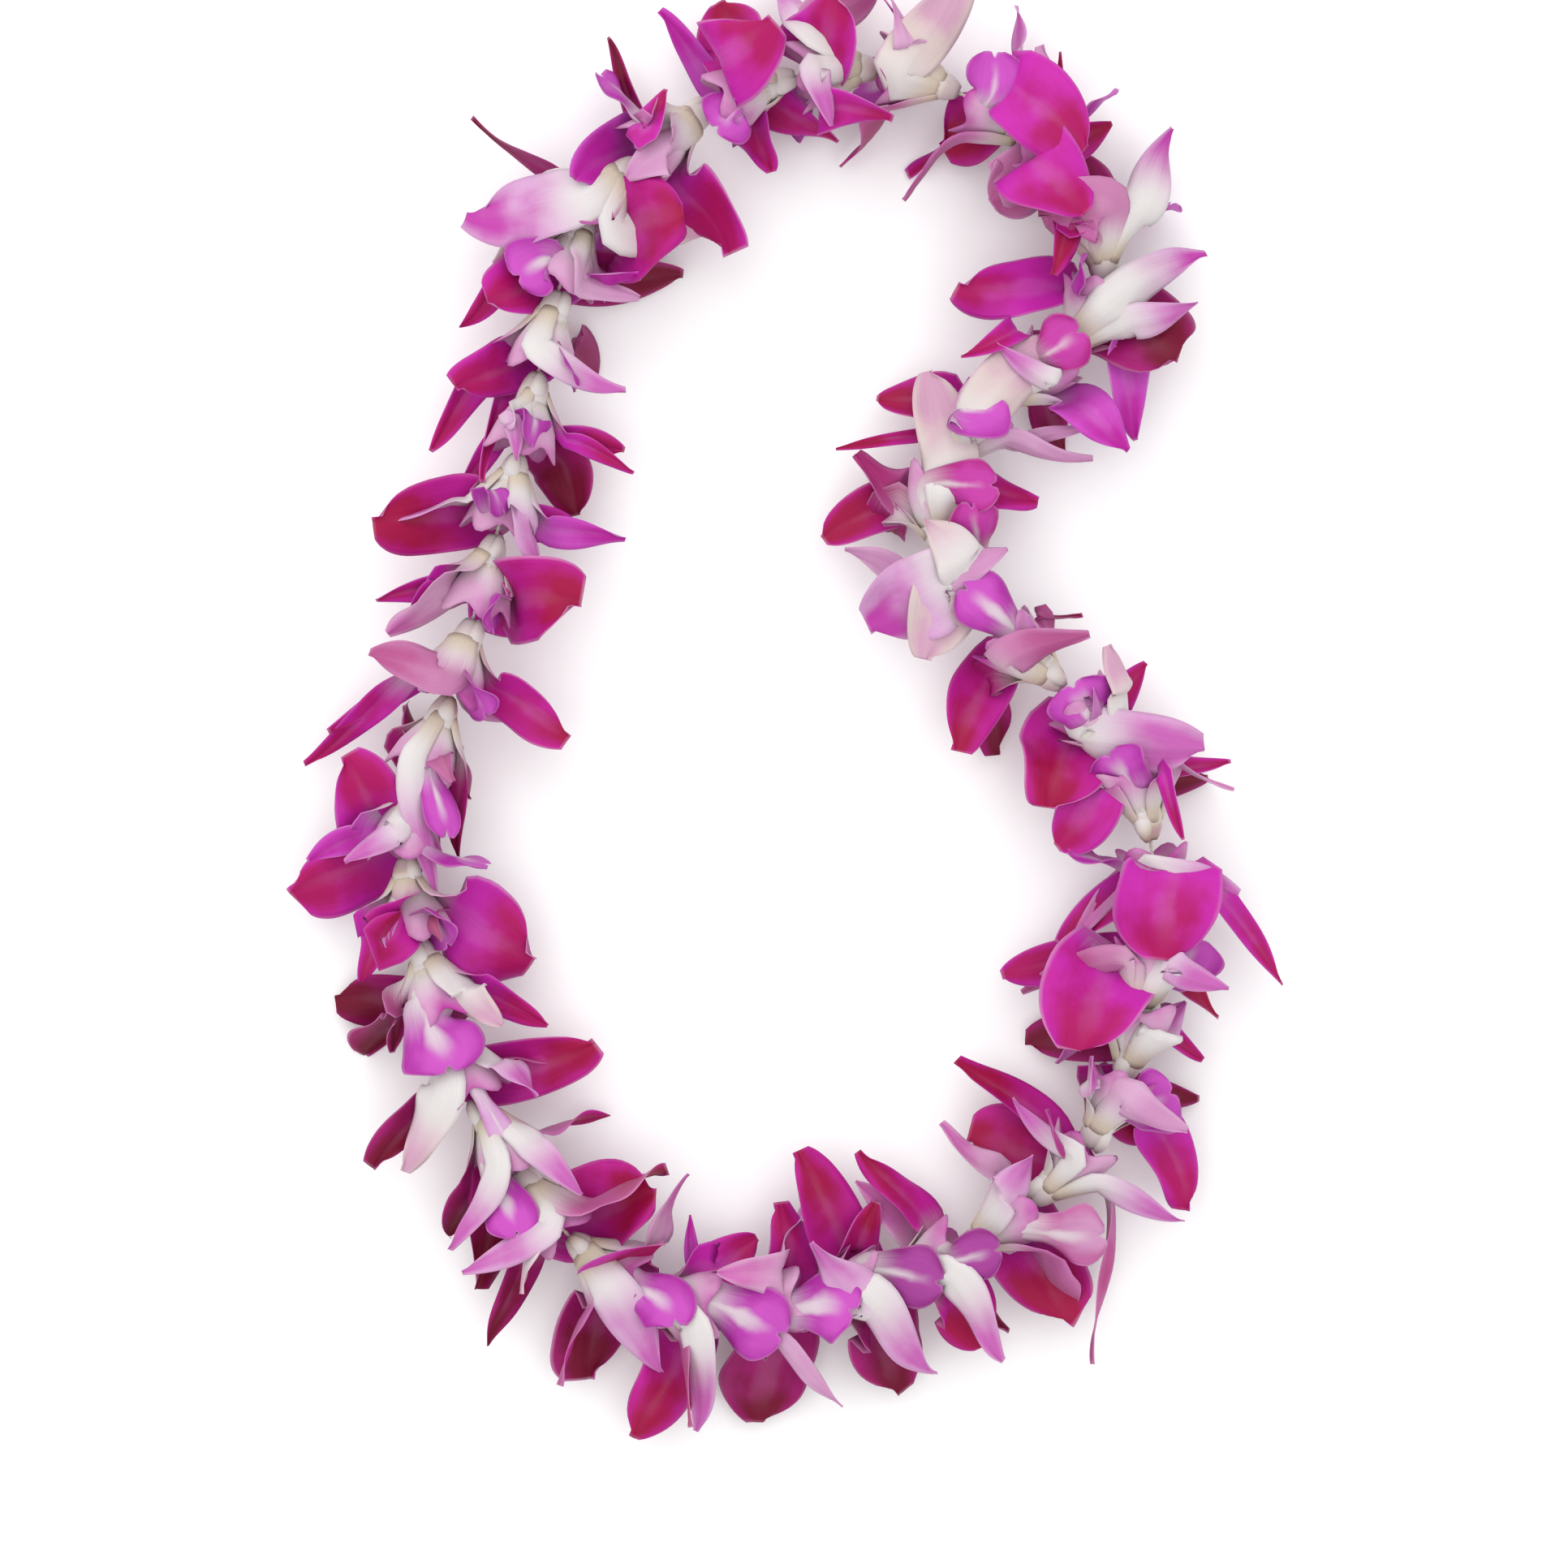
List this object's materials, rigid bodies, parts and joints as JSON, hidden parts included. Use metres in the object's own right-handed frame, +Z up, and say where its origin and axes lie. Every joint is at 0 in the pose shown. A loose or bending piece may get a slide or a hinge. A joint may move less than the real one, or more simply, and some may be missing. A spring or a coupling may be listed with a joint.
{
  "type": "fresh flower lei",
  "caption": "Single-strand fresh orchid lei: purple and white blooms strung nose to tail on a knotted cotton string, laid flat in a closed loop.",
  "frame": {"origin": "middle of the lei's underside, on the surface it lies on", "axes": "+Z up, +Y along the lei's long way, +X to the side where the loop is drawn in"},
  "size_m": [0.2904, 0.4304, 0.0571],
  "materials": {
    "petal": "satin",
    "string": "matte"
  },
  "bodies": {
    "root": {"flower_01": "petal", "flower_02": "petal", "flower_03": "petal", "flower_04": "petal", "flower_05": "petal", "flower_06": "petal", "flower_07": "petal", "flower_08": "petal", "flower_09": "petal", "flower_10": "petal", "flower_11": "petal", "flower_12": "petal", "flower_13": "petal", "flower_14": "petal", "flower_15": "petal", "flower_16": "petal", "flower_17": "petal", "flower_18": "petal", "flower_19": "petal", "flower_20": "petal", "flower_21": "petal", "flower_22": "petal", "flower_23": "petal", "flower_24": "petal", "flower_25": "petal", "flower_26": "petal", "flower_27": "petal", "flower_28": "petal", "flower_29": "petal", "flower_30": "petal", "flower_31": "petal", "flower_32": "petal", "flower_33": "petal", "flower_34": "petal", "flower_35": "petal", "flower_36": "petal", "flower_37": "petal", "flower_38": "petal", "flower_39": "petal", "flower_40": "petal", "string": "string"}
  },
  "joints": []
}
